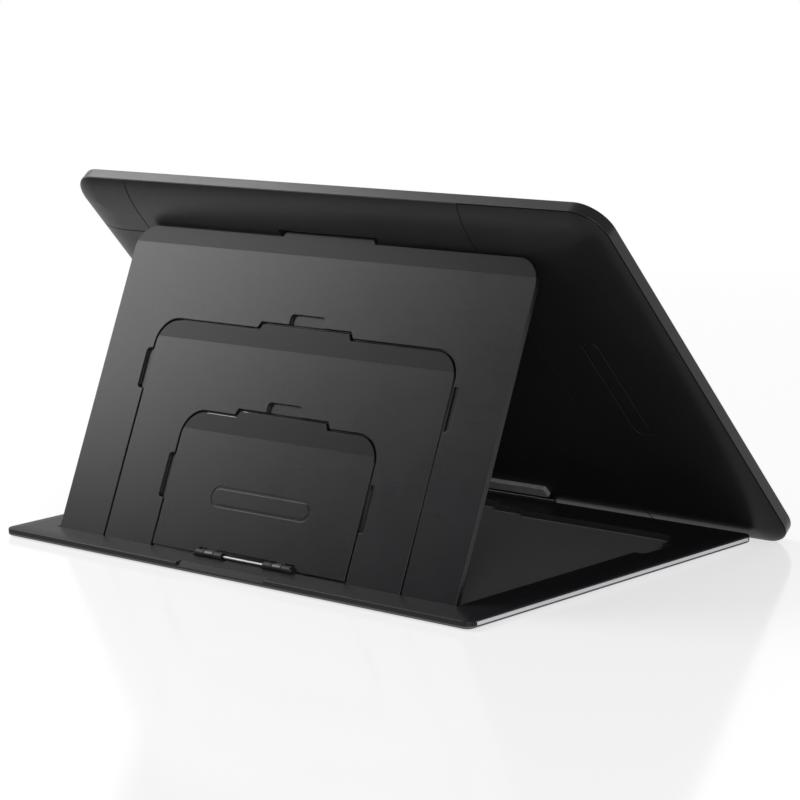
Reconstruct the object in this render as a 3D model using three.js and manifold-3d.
// Pen display on its folding stand: a tilted screen whose back leans on the largest of three
// nested legs, which stand up out of a flat tray. Millimetres, +Z up, the user sits at -Y.
// The tray frame has its rear edge on y = 0 and the table at z = 0; the display has a frame of
// its own (x across, y up the screen, z out of the glass) that is tilted as one group.
import * as THREE from "three";
import { mergeVertices } from "three/addons/utils/BufferGeometryUtils.js";
import Module from "manifold-3d";

const wasm = await Module();
wasm.setup();

// ---- Driving dimensions: display ----
const displayWidth = 375;
const displayHeight = 247;
const displayCorner = 17;
const rimDepth = 6.2; // straight side wall behind the front face
const rimEase = 0.8; // eased edges of that wall
const backDepth = 11.8; // front face to the flat of the back
const backFootProud = 2.2; // rubber feet standing on the back: 14 mm overall
const rimWall = 2.2;
const faceSheet = 1.6;
const shellWall = 1.3;
const shellInset = 1; // step between the rim and the back shells
const controlStripWidth = 40.5; // plain bezel with the keys, at the user's left
const activeWidth = 294;
const activeHeight = 165;
const keySeamFromEdge = 86.5; // parting line of the end cap behind the keys
const cornerCapWidth = 45.5; // small cap over the upper corner on the cable's side
const cornerCapHeight = 36;

// ---- Driving dimensions: stand ----
const trayWidth = 337;
const trayTop = 5.2;
const trayFootHeight = 0.5;
const trayCorner = 4.5;
const recessDepth = 3.6;
const rearBorder = 18.4; // rear edge to the line where the legs rise from the tray
const frontRail = 31.7; // recess end to the line on which the display stands
const legThickness = 2.6;
const legCorner = 14;
const slit = 1.3; // gap round each nested leg
const tipBand = 9.4; // depth of the moulded-on rubber tip
const tabHalfBase = 33.2;
const tabHalfTop = 31.2;
const tabHeight = 3.4;
const legs = {
  outer: { width: 288, length: 171.5, pocketFrom: 132.5, pocketTo: 155, pocketReach: 7.5 },
  middle: { width: 215, length: 120.5, pocketFrom: 81.5, pocketTo: 104, pocketReach: 5.5 },
  inner: { width: 140, length: 73.3, pocketFrom: 25.5, pocketTo: 50, pocketReach: 5 },
};
const catchUp = 216.6; // how far up the display the leg's edge bears
const legPinDepth = 1.5; // pin axis of the two larger legs, below the tray's face
const rodRise = 0.8; // rod axis of the inner leg, above the tray's face
const beadRadius = 1.45;
const pinRadius = 0.7;
const rodRadius = 1.1;
const barrelRadius = 2.2;
const hingeHalf = 34.5; // half width of the inner leg's barrel hinge
const barrelLength = 6.2;
const barrelGap = 0.4;
const barrelCount = 3; // in each of the two groups

// ---- Clearances ----
const fit = 0.3; // between pieces that are assembled against each other
const run = 0.15; // radial, round a turning pin
const restGap = 0.4; // leg edge to the back of the display
const seam = 0.35; // parting lines of the casing

// ---- Keys ----
const keyFlange = 1;
const keyProud = 0.5;
const keyWidth = 16;
const keyHeight = 15;
const keyPitch = keyHeight + 2.2;
const ringRadius = 14.5;
const ringBore = 6.2;
const homeRadius = 4.2;

// ---- Small geometry kit ----
function solidOf(geometry) {
  const plain = geometry.index ? geometry.toNonIndexed() : geometry.clone();
  plain.deleteAttribute("normal");
  plain.deleteAttribute("uv");
  const merged = mergeVertices(plain, 1e-4);
  return new wasm.Manifold(
    new wasm.Mesh({
      numProp: 3,
      vertProperties: new Float32Array(merged.attributes.position.array),
      triVerts: new Uint32Array(merged.index.array),
    }),
  );
}

function geometryOf(solid) {
  const mesh = solid.getMesh();
  const geometry = new THREE.BufferGeometry();
  geometry.setAttribute("position", new THREE.BufferAttribute(mesh.vertProperties, 3));
  geometry.setIndex(new THREE.BufferAttribute(mesh.triVerts, 1));
  geometry.computeVertexNormals();
  return geometry;
}

function joined(...solids) {
  return solids.reduce((sum, next) => sum.add(next));
}

function less(solid, ...cuts) {
  return cuts.reduce((rest, cut) => rest.subtract(cut), solid);
}

function block(x0, x1, y0, y1, z0, z1) {
  const box = new THREE.BoxGeometry(x1 - x0, y1 - y0, z1 - z0);
  return solidOf(box.translate((x0 + x1) / 2, (y0 + y1) / 2, (z0 + z1) / 2));
}

function slab(shape, low, high, curveSegments = 6) {
  const options = { depth: high - low, bevelEnabled: false, curveSegments };
  return solidOf(new THREE.ExtrudeGeometry(shape, options).translate(0, 0, low));
}

// A cylinder along X, from x0 to x1, round the line at (y, z).
function crossRod(radius, x0, x1, y, z, sides = 16) {
  const rod = new THREE.CylinderGeometry(radius, radius, x1 - x0, sides);
  return solidOf(rod.rotateZ(Math.PI / 2).translate((x0 + x1) / 2, y, z));
}

function disc(radius, low, high, x, y, sides = 24) {
  const drum = new THREE.CylinderGeometry(radius, radius, high - low, sides);
  return solidOf(drum.rotateX(Math.PI / 2).translate(x, y, (low + high) / 2));
}

// A prism along X whose section is given as [y, z] corners.
function prism(corners, x0, x1) {
  const section = new THREE.Shape(corners.map(([y, z]) => new THREE.Vector2(y, z)));
  const bar = new THREE.ExtrudeGeometry(section, { depth: x1 - x0, bevelEnabled: false });
  const turn = new THREE.Matrix4().makeBasis(
    new THREE.Vector3(0, 1, 0),
    new THREE.Vector3(0, 0, 1),
    new THREE.Vector3(1, 0, 0),
  );
  return solidOf(bar.applyMatrix4(turn).translate(x0, 0, 0));
}

function roundedRect(x0, x1, y0, y1, r) {
  const shape = new THREE.Shape();
  shape.moveTo(x0 + r, y0);
  shape.lineTo(x1 - r, y0);
  shape.absarc(x1 - r, y0 + r, r, -Math.PI / 2, 0);
  shape.lineTo(x1, y1 - r);
  shape.absarc(x1 - r, y1 - r, r, 0, Math.PI / 2);
  shape.lineTo(x0 + r, y1);
  shape.absarc(x0 + r, y1 - r, r, Math.PI / 2, Math.PI);
  shape.lineTo(x0, y0 + r);
  shape.absarc(x0 + r, y0 + r, r, Math.PI, 1.5 * Math.PI);
  return shape;
}

// A closed skin through rounded rectangles stacked along z: each ring is [inset, z].
function stacked(box, corner, rings, arcSteps = 6) {
  const [x0, x1, y0, y1] = box;
  const outline = rings.map(([inset, z]) => {
    const r = Math.max(corner - inset, 0.5);
    const centres = [
      [x1 - inset - r, y0 + inset + r, -Math.PI / 2],
      [x1 - inset - r, y1 - inset - r, 0],
      [x0 + inset + r, y1 - inset - r, Math.PI / 2],
      [x0 + inset + r, y0 + inset + r, Math.PI],
    ];
    return centres.flatMap(([cx, cy, from]) =>
      Array.from({ length: arcSteps + 1 }, (_, i) => {
        const angle = from + (i / arcSteps) * (Math.PI / 2);
        return [cx + r * Math.cos(angle), cy + r * Math.sin(angle), z];
      }),
    );
  });
  const count = outline[0].length;
  const index = [];
  for (let i = 1; i < count - 1; i++) {
    index.push(0, i + 1, i);
  }
  for (let ring = 0; ring < rings.length - 1; ring++) {
    for (let i = 0; i < count; i++) {
      const a = ring * count + i;
      const b = ring * count + ((i + 1) % count);
      index.push(a, b, b + count, a, b + count, a + count);
    }
  }
  const top = (rings.length - 1) * count;
  for (let i = 1; i < count - 1; i++) {
    index.push(top, top + i, top + i + 1);
  }
  const geometry = new THREE.BufferGeometry();
  const points = outline.flat(2);
  geometry.setAttribute("position", new THREE.Float32BufferAttribute(points, 3));
  geometry.setIndex(index);
  return solidOf(geometry);
}

function paint(color, roughness, metalness = 0) {
  return new THREE.MeshStandardMaterial({ color, roughness, metalness });
}

function place(group, name, solid, material) {
  const mesh = new THREE.Mesh(geometryOf(solid), material);
  mesh.name = name;
  group.add(mesh);
}

const casing = () => paint(0x1b1b1d, 0.5);
const panel = () => paint(0x46464a, 0.55);
const rubber = () => paint(0x2a2a2c, 0.85);
const steel = () => paint(0xb8b8bc, 0.3, 1);
const board = () => paint(0x1d4a2c, 0.6);

// ---- Rest pose: the triangle of tray, leg and display ----
// Each leg axis sits off the line where the faces meet, so that a leg's face is flush with the
// tray when it is folded and rises from that same line when it stands.
const legLean = THREE.MathUtils.degToRad(66.5);
const axisShift = Math.tan(legLean / 2);
const largeLegAxis = { y: -rearBorder - legPinDepth * axisShift, z: trayTop - legPinDepth };
const innerLegAxis = { y: -rearBorder + rodRise * axisShift, z: trayTop + rodRise };
const largeFace = legPinDepth;
const innerFace = -rodRise;
const legReach = {
  outer: legs.outer.length + legPinDepth * axisShift,
  middle: legs.middle.length + legPinDepth * axisShift,
  inner: legs.inner.length - rodRise * axisShift,
};
const fingerReach = 5.6;
const fingerWidth = 25;
const hingeToStandLine =
  legReach.outer + tabHeight + slit + fingerReach + frontRail;
const standLine = { y: largeLegAxis.y - hingeToStandLine, z: 0 };

// The leg's bearing edge in the tray frame, and the tilt that lays the back against it.
const bearing = {
  y: largeLegAxis.y - legReach.outer * Math.cos(legLean) +
    (largeFace - legThickness) * Math.sin(legLean),
  z: largeLegAxis.z + legReach.outer * Math.sin(legLean) +
    (largeFace - legThickness) * Math.cos(legLean),
};
const bearingDistance = Math.hypot(bearing.y - standLine.y, bearing.z - standLine.z);
const backOffset = backDepth + restGap - (rimDepth - rimEase);
const displayTilt =
  Math.atan2(bearing.z - standLine.z, bearing.y - standLine.y) +
  Math.asin(backOffset / bearingDistance);
const bearingUp = Math.sqrt(bearingDistance ** 2 - backOffset ** 2);
const displayOrigin = {
  y: standLine.y - (rimDepth - rimEase) * Math.sin(displayTilt),
  z: (rimDepth - rimEase) * Math.cos(displayTilt),
};

// Where a point of the display's own frame (y up, z out) lies in the tray frame.
function fromDisplay(y, z) {
  return [
    displayOrigin.y + y * Math.cos(displayTilt) - z * Math.sin(displayTilt),
    displayOrigin.z + y * Math.sin(displayTilt) + z * Math.cos(displayTilt),
  ];
}

// ---- Display casing ----
const half = displayWidth / 2;
const frontBox = [-half, half, 0, displayHeight];
const glassBox = {
  x0: -half + controlStripWidth,
  x1: half - rimWall - fit,
  y0: rimWall + fit,
  y1: displayHeight - rimWall - fit,
};
const screenMiddle = displayHeight / 2;
const keyColumn = -half + controlStripWidth / 2 + 1;
const ringMiddle = screenMiddle;
const keyRows = [
  ringMiddle + ringRadius + 6 + 1.5 * keyPitch,
  ringMiddle + ringRadius + 6 + 0.5 * keyPitch,
  ringMiddle - ringRadius - 6 - 0.5 * keyPitch,
  ringMiddle - ringRadius - 6 - 1.5 * keyPitch,
];
const homeRow = keyRows[0] + keyPitch;
const powerRow = displayHeight - 42;
const powerHalf = 7;
const powerLevel = -3.4;
const powerThickness = 2.4;

// Rings of the back, as [inset, z], from the rim to the flat.
const backRings = [
  [25, -backDepth],
  [16, -backDepth + 0.5],
  [9, -backDepth + 1.6],
  [4.2, -backDepth + 3.1],
  [1.7, -backDepth + 4.5],
  [shellInset, -rimDepth - fit],
];

function keyShape(x, y, grow) {
  const w = keyWidth / 2 + grow;
  const h = keyHeight / 2 + grow;
  return roundedRect(x - w, x + w, y - h, y + h, 2.5 + Math.max(grow, -1));
}

function frontBezel() {
  const body = stacked(frontBox, displayCorner, [
    [rimEase, -rimDepth],
    [0, -rimDepth + rimEase],
    [0, -rimEase],
    [rimEase, 0],
  ]);
  const cavity = roundedRect(
    -half + rimWall, half - rimWall, rimWall, displayHeight - rimWall, displayCorner - rimWall,
  );
  const window = roundedRect(
    glassBox.x0 - fit, glassBox.x1 + fit, glassBox.y0 - fit, glassBox.y1 + fit, 3,
  );
  const holes = keyRows.map((row) => slab(keyShape(keyColumn, row, fit), -3, 1));
  return less(
    body,
    slab(cavity, -rimDepth - 1, -faceSheet),
    slab(window, -faceSheet - 1, 1).intersect(slab(cavity, -faceSheet - 1, 1)),
    ...holes,
    disc(ringRadius + fit, -3, 1, keyColumn, ringMiddle, 32),
    disc(homeRadius + fit, -3, 1, keyColumn, homeRow),
    block(half - 4, half + 1, powerRow - powerHalf - fit, powerRow + powerHalf + fit,
      powerLevel - powerThickness / 2 - fit, powerLevel + powerThickness / 2 + fit),
    crossRod(lightRadius + run, half - 4, half + 1, lightRow, powerLevel, 12),
  );
}

const lightRadius = 0.9;
const lightRow = powerRow - powerHalf - 5;
const stripPocket = {
  x0: -half + rimWall + 2,
  x1: -half + controlStripWidth - 4,
  y0: keyRows[3] - keyHeight,
  y1: homeRow + homeRadius + 5,
};
const sensorLow = -6.8; // underside of the pen sensor board
const lcdMiddle = (glassBox.x0 + glassBox.x1) / 2;
const lcd = {
  x0: lcdMiddle - activeWidth / 2 - 5,
  x1: lcdMiddle + activeWidth / 2 + 5,
  y0: screenMiddle - activeHeight / 2 - 6.5,
  y1: screenMiddle + activeHeight / 2 + 6.5,
};
const frameLow = -rimDepth + 0.2;
const frameHigh = -faceSheet - 0.1;
const frameScrews = [
  [-half + 26, 14],
  [half - 26, 14],
  [-half + 26, displayHeight - 14],
  [half - 26, displayHeight - 14],
];

function midFrame() {
  const inset = rimWall + fit;
  const ring = roundedRect(
    -half + inset, half - inset, inset, displayHeight - inset, displayCorner - inset,
  );
  const opening = block(lcd.x0 - fit, lcd.x1 + fit, lcd.y0 - fit, lcd.y1 + fit, -8, 0);
  const keys = block(stripPocket.x0, stripPocket.x1, stripPocket.y0, stripPocket.y1, -8, 0);
  const power = block(half - 12, half, powerRow - powerHalf - 2, powerRow + powerHalf + 2, -8, 0);
  const light = block(half - 12, half, lightRow - 2, lightRow + 1.5, -8, 0);
  const bores = frameScrews.map(([x, y]) => disc(1.3, -8, 0, x, y, 12));
  const shellBores = shellScrews.map(([x, y]) => disc(1.3, -8, 0, x, y, 12));
  return less(slab(ring, frameLow, frameHigh), opening, keys, power, light,
    ...bores, ...shellBores);
}

// A pan-head screw along z: its head ends at headTop and its shank reaches shankEnd.
function screw(x, y, headLow, headHigh, shankEnd) {
  return less(
    joined(disc(2.1, headLow, headHigh, x, y, 16), disc(1, headHigh - 0.1, shankEnd, x, y, 12)),
    block(x - 1.2, x + 1.2, y - 0.25, y + 0.25, headLow - 1, headLow + 0.5),
    block(x - 0.25, x + 0.25, y - 1.2, y + 1.2, headLow - 1, headLow + 0.5),
  );
}

// ---- Back shells ----
const lowerFoot = { x0: -36, x1: 36, y0: 18, y1: 25 };
const upperFeet = [
  { x0: -87, x1: -37, y0: 146, y1: 153 },
  { x0: 37, x1: 87, y0: 146, y1: 153 },
];
const footSeat = 0.8;
const shellScrews = [
  [-24, 21.5],
  [24, 21.5],
];
const tongueHalf = 32;
const tongueLow = 1.7;
const tongueHigh = 3.6;
const trayFront = trayFrontEdge();
const tongueEnd = trayFront - 6.4;
const socketRow = 142;
const socketHalf = 8;
const bayInset = 19;
const catchDepth = 3.3;

// The tray stops short of the underside of the display's curved lower edge.
function trayFrontEdge() {
  const edge = backRings.map(([inset, z]) => fromDisplay(inset, z));
  const under = edge.filter((_, i) => i > 0 && edge[i][1] < trayTop + 3).map(([y]) => y);
  const reach = edge.find(([, z], i) => edge[i + 1] && edge[i + 1][1] < trayTop);
  const next = edge[edge.indexOf(reach) + 1];
  const share = (trayTop - next[1]) / (reach[1] - next[1]);
  return Math.max(next[0] + share * (reach[0] - next[0]), Math.min(...under)) + 0.9;
}

function backSkin() {
  const outer = stacked(frontBox, displayCorner, backRings);
  const inner = stacked(
    frontBox,
    displayCorner,
    backRings.map(([inset, z], i) => [
      inset + (i === 0 ? 1 : shellWall),
      i === backRings.length - 1 ? z + 1 : z + shellWall * (i < 3 ? 1 : 0.6),
    ]),
  );
  return less(outer, inner);
}

function catchCut() {
  const end = catchUp + tabHeight + 2.2;
  const bottom = -backDepth + catchDepth;
  const corners = [
    [end, -backDepth - 3],
    [end, bottom],
    [catchUp - 3, bottom],
    [catchUp - 42, -backDepth],
    [catchUp - 42, -backDepth - 3],
  ];
  return prism(corners, -tabHalfBase - 1.5, tabHalfBase + 1.5);
}

function footPocket(foot) {
  return block(foot.x0 - fit, foot.x1 + fit, foot.y0 - fit, foot.y1 + fit,
    -backDepth - 3, -backDepth + footSeat);
}

// The area of the corner cap, seen from behind.
function cornerCapArea(grow) {
  const x0 = half - cornerCapWidth - grow;
  const y0 = displayHeight - cornerCapHeight - grow;
  return slab(roundedRect(x0, half + 20, y0, displayHeight + 20, 5 + grow), -20, 0, 4);
}

// The bay in the edge where the cable plugs in, walled off from the inside.
function cableBay() {
  const walls = block(half - bayInset - 1.3, half - 3, socketRow - 13, socketRow + 13,
    -backDepth + 0.7, sensorLow - 0.3);
  const bay = block(half - bayInset, half + 1, socketRow - 11.6, socketRow + 11.6, -20,
    sensorLow - 1.3);
  const mouth = block(half - bayInset - 3, half - bayInset + 1, socketRow - socketHalf - 1.4,
    socketRow + socketHalf + 1.4, -backDepth + 1.4, sensorLow);
  return { walls: walls.intersect(backHull()), cuts: [bay, mouth] };
}

function backPanel() {
  const x0 = -half + keySeamFromEdge + seam / 2;
  const hump = block(-tabHalfBase - 3, tabHalfBase + 3, catchUp - 46, catchUp + tabHeight + 4,
    -backDepth + 0.5, -backDepth + catchDepth + 0.9);
  const seats = [lowerFoot, ...upperFeet].map((foot) =>
    block(foot.x0 - 2, foot.x1 + 2, foot.y0 - 2, foot.y1 + 2, -backDepth + 0.5,
      -backDepth + footSeat + 1.2));
  const bosses = shellScrews.map(([x, y]) =>
    disc(3.2, -backDepth + 1, frameLow - 0.3, x, y, 16));
  const cable = cableBay();
  const skin = backSkin().intersect(block(x0, half + 1, -1, displayHeight + 1, -20, 0));
  const whole = joined(skin.subtract(cornerCapArea(seam / 2)), hump, ...seats, ...bosses,
    cable.walls);
  const screwCuts = shellScrews.flatMap(([x, y]) => [
    disc(1.3, -20, 0, x, y, 12),
    disc(2.4, -20, -backDepth + footSeat + 1.9, x, y, 16),
  ]);
  const tongueSlot = block(-tongueHalf - 1.2, tongueHalf + 1.2, 2.4, 11.5, -20, 0);
  return less(whole, catchCut(), tongueSlot, ...[lowerFoot, ...upperFeet].map(footPocket),
    ...screwCuts, ...cable.cuts);
}

function keyEndCap() {
  const x1 = -half + keySeamFromEdge - seam / 2;
  return backSkin().intersect(block(-half - 1, x1, -1, displayHeight + 1, -20, 0));
}

function cornerCap() {
  return backSkin().intersect(cornerCapArea(-seam / 2));
}

function backHull() {
  return stacked(frontBox, displayCorner, backRings);
}

// ---- Display contents ----
function buildDisplay() {
  const group = new THREE.Group();
  group.name = "display";
  place(group, "front_bezel", frontBezel(), casing());
  const glass = roundedRect(glassBox.x0, glassBox.x1, glassBox.y0, glassBox.y1, 2.6);
  const rimCorner = roundedRect(
    -half + rimWall + fit, half - rimWall - fit, rimWall + fit,
    displayHeight - rimWall - fit, displayCorner - rimWall - fit,
  );
  place(group, "cover_glass", slab(glass, -1.3, -0.15).intersect(slab(rimCorner, -2, 0)),
    paint(0x0a0a0c, 0.1));
  place(group, "mid_frame", midFrame(), paint(0x6c6e70, 0.5, 0.8));
  place(group, "lcd_panel", block(lcd.x0, lcd.x1, lcd.y0, lcd.y1, -3.6, -1.8),
    paint(0x101014, 0.2));
  place(group, "backlight_unit", block(lcd.x0, lcd.x1, lcd.y0, lcd.y1, -5.6, -3.9),
    paint(0xd8d8d4, 0.4));
  place(group, "pen_sensor_board",
    block(lcd.x0 - 3, lcd.x1 + 3, lcd.y0 - 3, lcd.y1 + 3, sensorLow, sensorLow + 0.4), board());
  place(group, "shield_plate",
    block(lcd.x0 - 3, lcd.x1 - 16, lcd.y0 - 3, lcd.y1 + 3, sensorLow - 0.6, sensorLow - 0.3),
    paint(0xa9abae, 0.4, 1));
  buildMainBoard(group);
  buildControls(group);
  place(group, "back_panel", backPanel(), casing());
  place(group, "key_end_cap", keyEndCap(), casing());
  place(group, "corner_cap", cornerCap(), casing());
  const low = -backDepth - backFootProud;
  const high = -backDepth + footSeat - fit;
  const feet = { lower: lowerFoot, upper_left: upperFeet[0], upper_right: upperFeet[1] };
  for (const [name, foot] of Object.entries(feet)) {
    const strip = roundedRect(foot.x0, foot.x1, foot.y0, foot.y1, 1.5);
    place(group, "back_foot_" + name, slab(strip, low, high, 3), rubber());
  }
  shellScrews.forEach(([x, y], i) => {
    const head = -backDepth + footSeat + 0.1;
    place(group, "shell_screw_" + (i + 1), screw(x, y, head, head + 1.4, -2.4), steel());
  });
  frameScrews.forEach(([x, y], i) => {
    place(group, "frame_screw_" + (i + 1),
      screw(x, y, frameLow - 1.6, frameLow - 0.2, frameHigh - 0.4), steel());
  });
  group.position.set(0, displayOrigin.y, displayOrigin.z);
  group.rotation.x = displayTilt;
  return group;
}

function buildMainBoard(group) {
  const x1 = half - bayInset - 12;
  const low = -9.4;
  const high = -8.5;
  const parts = [
    block(x1 - 72, x1, 92, 192, low, high),
    block(x1 - 48, x1 - 28, 150, 170, high - 0.1, high + 0.9),
    block(x1 - 60, x1 - 50, 110, 134, high - 0.1, high + 0.7),
    block(x1 - 30, x1 - 18, 104, 116, high - 0.1, high + 0.8),
  ];
  place(group, "main_board", joined(...parts), board());
  const back = x1 + 0.4;
  const face = half - bayInset - 0.4;
  const body = block(back, face, socketRow - socketHalf - 1, socketRow + socketHalf + 1,
    -backDepth + 1.7, sensorLow - 0.4);
  const mouth = block(face - 8, face + 1, socketRow - socketHalf + 0.4,
    socketRow + socketHalf - 0.4, -backDepth + 2.2, sensorLow - 0.9);
  place(group, "cable_socket", less(body, mouth), paint(0x8a8c90, 0.35, 1));
}

function keyCap(shape, wideShape) {
  return joined(slab(shape, -2.1, keyProud, 4), slab(wideShape, -2.8, -faceSheet - fit, 4));
}

function buildControls(group) {
  const domes = [...keyRows, homeRow].map((row) => disc(3, -4.3, -3.5, keyColumn, row, 12));
  domes.push(disc(3, -4.3, -3.1, keyColumn, ringMiddle, 12));
  const floor = block(stripPocket.x0 + 1, stripPocket.x1 - 1, stripPocket.y0 + 1,
    stripPocket.y1 - 1, -5, -4.2);
  place(group, "key_board", joined(floor, ...domes), board());
  keyRows.forEach((row, i) => {
    const cap = keyCap(keyShape(keyColumn, row, 0), keyShape(keyColumn, row, keyFlange));
    const touch = joined(cap, disc(1.5, -2.9 - 0.15, -2.7, keyColumn, row, 12));
    place(group, "express_key_" + (i + 1), touch, casing());
  });
  const home = joined(
    disc(homeRadius, -2.1, keyProud, keyColumn, homeRow),
    disc(homeRadius + keyFlange, -2.8, -faceSheet - fit, keyColumn, homeRow),
    disc(1.5, -3.05, -2.7, keyColumn, homeRow, 12),
  );
  place(group, "home_key", home, casing());
  const carrier = less(
    disc(ringRadius - 4, -3.8, -3.3, keyColumn, ringMiddle),
    disc(ringBore - 1.6, -5, 0, keyColumn, ringMiddle),
  );
  place(group, "rocker_carrier", carrier, paint(0x303034, 0.6));
  const ring = less(
    joined(
      disc(ringRadius, -1.9, keyProud, keyColumn, ringMiddle, 32),
      disc(ringRadius - 1.5, -2.8, -1.8, keyColumn, ringMiddle, 32),
    ),
    disc(ringBore + fit, -5, 2, keyColumn, ringMiddle),
  );
  place(group, "rocker_ring", ring, casing());
  place(group, "rocker_button", disc(ringBore, -2.6, keyProud - 0.2, keyColumn, ringMiddle),
    casing());
  const power = block(half - 3.6, half - 0.1, powerRow - powerHalf, powerRow + powerHalf,
    powerLevel - powerThickness / 2, powerLevel + powerThickness / 2);
  const stop = block(half - 4.4, half - rimWall - 0.7, powerRow - powerHalf - 1,
    powerRow + powerHalf + 1, powerLevel - powerThickness / 2, powerLevel + powerThickness / 2);
  place(group, "power_button", joined(power, stop), casing());
  place(group, "status_light",
    crossRod(lightRadius, half - 5, half - 0.2, lightRow, powerLevel, 12),
    paint(0xd0e4ff, 0.3));
}

// ---- Legs ----
// A leg's outline in its folded position, with its axis on y = 0 and its tip towards -y.
function legOutline(width, reach, grow, footY = 0) {
  const w = width / 2 + grow;
  const r = legCorner + grow;
  const tip = -reach - grow;
  const tabTip = tip - tabHeight;
  const shape = new THREE.Shape();
  shape.moveTo(w, footY);
  shape.lineTo(-w, footY);
  shape.lineTo(-w, tip + r);
  shape.absarc(-w + r, tip + r, r, Math.PI, 1.5 * Math.PI);
  shape.lineTo(-tabHalfBase - grow, tip);
  shape.lineTo(-tabHalfTop - grow, tabTip);
  shape.lineTo(tabHalfTop + grow, tabTip);
  shape.lineTo(tabHalfBase + grow, tip);
  shape.lineTo(w - r, tip);
  shape.absarc(w - r, tip + r, r, 1.5 * Math.PI, 2 * Math.PI);
  return shape;
}

// The shallow finger pockets beside a nested leg, cut from the visible face down.
function fingerPockets(leg, reach, low, high) {
  const w = leg.width / 2;
  const shift = reach - leg.length;
  const end = -reach - tabHeight - slit - fingerReach;
  const top = roundedRect(-fingerWidth / 2, fingerWidth / 2, end, end + fingerReach + 4, 2.5);
  const from = -leg.pocketFrom - shift;
  const to = -leg.pocketTo - shift;
  const outerEdge = w + leg.pocketReach;
  const right = roundedRect(w - 2, outerEdge, to, from, 2.5);
  const left = roundedRect(-outerEdge, -w + 2, to, from, 2.5);
  return [top, right, left].map((shape) => slab(shape, low, high, 4));
}

// Keeps the part of a leg on one side of the line where the rubber tip is moulded on.
function bandSplit(solid, reach, side) {
  const line = -reach + tipBand;
  const span = 400;
  return side === "plate"
    ? solid.intersect(block(-span, span, line + seam / 2, 50, -20, 20))
    : solid.intersect(block(-span, span, -span, line - seam / 2, -20, 20));
}

// The tip thins towards its edge, from the visible face.
function tipBevel(reach, face) {
  const from = -reach + tipBand;
  const drop = 0.9;
  const end = -reach - tabHeight - 1;
  return prism([[from, face], [end, face - drop], [end, face + 5], [from, face + 5]], -300, 300);
}

function placeLeg(group, name, solid, reach, face) {
  place(group, name + "_leg", bandSplit(solid, reach, "plate"), panel());
  const tip = bandSplit(solid, reach, "tip").subtract(tipBevel(reach, face));
  place(group, name + "_leg_tip", tip, rubber());
}

// One of the two larger legs: a plate with a window for the next leg, turning on two pins.
function framedLeg(name, nested, nestedReach) {
  const leg = legs[name];
  const reach = legReach[name];
  const low = largeFace - legThickness;
  const plate = slab(legOutline(leg.width, reach, 0), low, largeFace);
  const window = slab(legOutline(nested.width, nestedReach, slit, 5), low - 3, largeFace + 3);
  const pockets = fingerPockets(nested, nestedReach, low + 0.9, largeFace + 3);
  const inside = nested.width / 2 + slit;
  const beads = [-1, 1].map((side) => {
    const ends = [side * inside, (side * leg.width) / 2].sort((a, b) => a - b);
    return crossRod(beadRadius, ends[0], ends[1], 0, 0);
  });
  const bores = [-1, 1].map((side) => {
    const ends = [side * (inside - 2), side * (leg.width / 2 + 2)].sort((a, b) => a - b);
    return crossRod(pinRadius + run, ends[0], ends[1], 0, 0);
  });
  const cut = less(plate, window, ...pockets);
  return less(joined(cut, ...beads), ...bores);
}

function legGroup(name, axis) {
  const group = new THREE.Group();
  group.name = name;
  group.position.set(0, axis.y, axis.z);
  group.rotation.x = -legLean;
  return group;
}

// Barrel positions of the inner leg's hinge: tray and leg barrels alternate in two groups.
function barrels(owner) {
  const spans = [];
  for (const side of [-1, 1]) {
    for (let i = 0; i < barrelCount; i++) {
      const outer = hingeHalf - i * (barrelLength + barrelGap);
      const ends = [side * outer, side * (outer - barrelLength)].sort((a, b) => a - b);
      const ofTray = i % 2 === 0;
      if (ofTray === (owner === "tray")) {
        spans.push(ends);
      }
    }
  }
  return spans;
}

function innerLeg() {
  const leg = legs.inner;
  const reach = legReach.inner;
  const low = innerFace - legThickness;
  const plate = slab(legOutline(leg.width, reach, 0), low, innerFace);
  const relief = block(-hingeHalf - barrelGap, hingeHalf + barrelGap, -barrelRadius - 0.8, 5,
    low - 5, 5);
  const lugs = barrels("leg").flatMap(([x0, x1]) => [
    crossRod(barrelRadius, x0, x1, 0, 0),
    block(x0, x1, -barrelRadius - 1.4, 0, -barrelRadius + 0.2, innerFace),
  ]);
  const bore = crossRod(rodRadius + run, -hingeHalf - 1, hingeHalf + 1, 0, 0);
  return less(joined(less(plate, relief), ...lugs), bore);
}

// ---- Tray ----
const trayBox = [-trayWidth / 2, trayWidth / 2, trayFront, 0];
const scoopHalf = 32;
const trimLow = 1.7;
const trimHigh = 3.8;
const trimDepth = 1.2;
const trimFromRear = trayCorner + 1.5;

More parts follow.
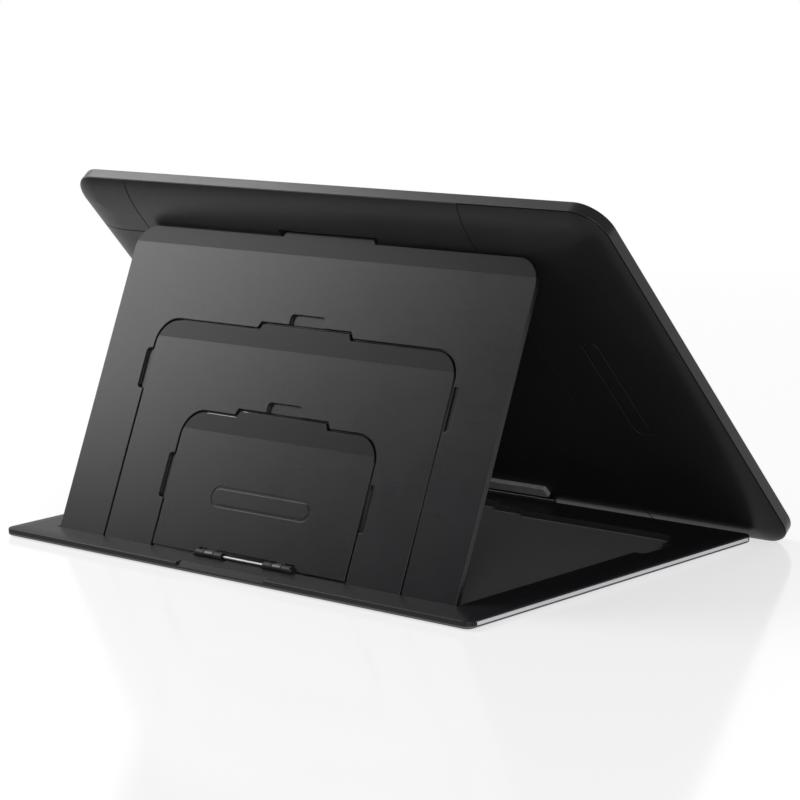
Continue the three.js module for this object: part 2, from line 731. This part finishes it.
function trayBody() {
  const skin = stacked(trayBox, trayCorner, [
    [1.2, trayFootHeight],
    [0, trayFootHeight + 1],
    [0, trayTop - 0.9],
    [0.5, trayTop - 0.45],
    [8, trayTop],
  ]);
  const floor = trayTop - recessDepth;
  const rearWall = beadRadius + 0.45;
  const recess = slab(legOutline(legs.outer.width, legReach.outer, slit, rearWall), floor, 20)
    .translate(0, largeLegAxis.y, 0);
  const pockets = fingerPockets(legs.outer, legReach.outer, floor, 20).map((cut) =>
    cut.translate(0, largeLegAxis.y, 0));
  const hingeSlot = block(-hingeHalf - 1, hingeHalf + 1, innerLegAxis.y - barrelRadius - 0.5,
    innerLegAxis.y + barrelRadius + 0.5, innerLegAxis.z - barrelRadius - 0.4, 20);
  const posts = barrels("tray").flatMap(([x0, x1]) => [
    crossRod(barrelRadius, x0, x1, innerLegAxis.y, innerLegAxis.z),
    block(x0, x1, innerLegAxis.y - 1.6, innerLegAxis.y + 1.6, floor - 0.3, innerLegAxis.z),
  ]);
  const scoop = prism([[1, trayTop - 2.2], [-0.5, trayTop - 2.2], [-6, trayTop + 0.4],
    [1, trayTop + 0.4]], -scoopHalf, scoopHalf);
  const tongue = block(-tongueHalf, tongueHalf, tongueEnd, trayFront + 3, tongueLow, tongueHigh);
  const pinBores = pinSpans().map(([x0, x1]) =>
    crossRod(pinRadius + run, x0 - 0.3, x1 + 0.3, largeLegAxis.y, largeLegAxis.z));
  const grooves = [-1, 1].map((side) => {
    const x = (side * trayWidth) / 2;
    const ends = [x - side * (trimDepth + fit), x + side].sort((a, b) => a - b);
    return block(ends[0], ends[1], trayFront + 4 - fit, -trimFromRear + fit,
      trimLow - 0.15, trimHigh + 0.15);
  });
  const rodBore = crossRod(rodRadius + run, -hingeHalf - 4.5, hingeHalf + 4.5, innerLegAxis.y,
    innerLegAxis.z);
  const open = less(joined(skin, tongue), recess, ...pockets, hingeSlot, scoop, ...grooves);
  return less(joined(open, ...posts), ...pinBores, rodBore);
}

function pinSpans() {
  const inside = legs.inner.width / 2 + slit - 0.9;
  const outside = legs.outer.width / 2 + slit + 5;
  return [[-outside, -inside], [inside, outside]];
}

function buildTray() {
  const group = new THREE.Group();
  group.name = "tray";
  place(group, "base_tray", trayBody(), casing());
  for (const [side, label] of [[-1, "left"], [1, "right"]]) {
    const x = (side * trayWidth) / 2;
    const ends = [x - side * trimDepth, x + side * 0.1].sort((a, b) => a - b);
    const strip = block(ends[0], ends[1], trayFront + 4, -trimFromRear, trimLow, trimHigh);
    place(group, "side_trim_" + label, strip, paint(0xc4c4c8, 0.35, 1));
  }
  pinSpans().forEach(([x0, x1], i) => {
    const pin = crossRod(pinRadius, x0, x1, largeLegAxis.y, largeLegAxis.z, 12);
    place(group, "leg_pin_" + ["left", "right"][i], pin, steel());
  });
  const rod = crossRod(rodRadius, -hingeHalf, hingeHalf, innerLegAxis.y, innerLegAxis.z);
  place(group, "inner_leg_rod", rod, steel());
  const footX = trayWidth / 2 - 16;
  const rows = [-9, trayFront / 2 - 4.5, trayFront + 9];
  let number = 1;
  for (const y of rows) {
    for (const x of [-footX, footX]) {
      place(group, "tray_foot_" + number, disc(5, 0, trayFootHeight - 0.02, x, y, 20), rubber());
      number += 1;
    }
  }
  return group;
}

function buildLegs() {
  const shift = legPinDepth * axisShift;
  const outer = legGroup("outer_leg_group", largeLegAxis);
  const middle = legGroup("middle_leg_group", largeLegAxis);
  const inner = legGroup("inner_leg_group", innerLegAxis);
  placeLeg(outer, "outer", framedLeg("outer", legs.middle, legReach.middle),
    legReach.outer, largeFace);
  placeLeg(middle, "middle", framedLeg("middle", legs.inner, legs.inner.length + shift),
    legReach.middle, largeFace);
  placeLeg(inner, "inner", innerLeg(), legReach.inner, innerFace);
  return [outer, middle, inner];
}

// ---- Assembly: the origin is at table level, in the middle of the footprint ----
const assembly = new THREE.Group();
assembly.name = "pen_display";
assembly.add(buildTray(), ...buildLegs(), buildDisplay());
assembly.updateMatrixWorld(true);
const bounds = new THREE.Box3().setFromObject(assembly, true);
assembly.position.y = -(bounds.min.y + bounds.max.y) / 2;
const root = new THREE.Group();
root.add(assembly);

export default root;
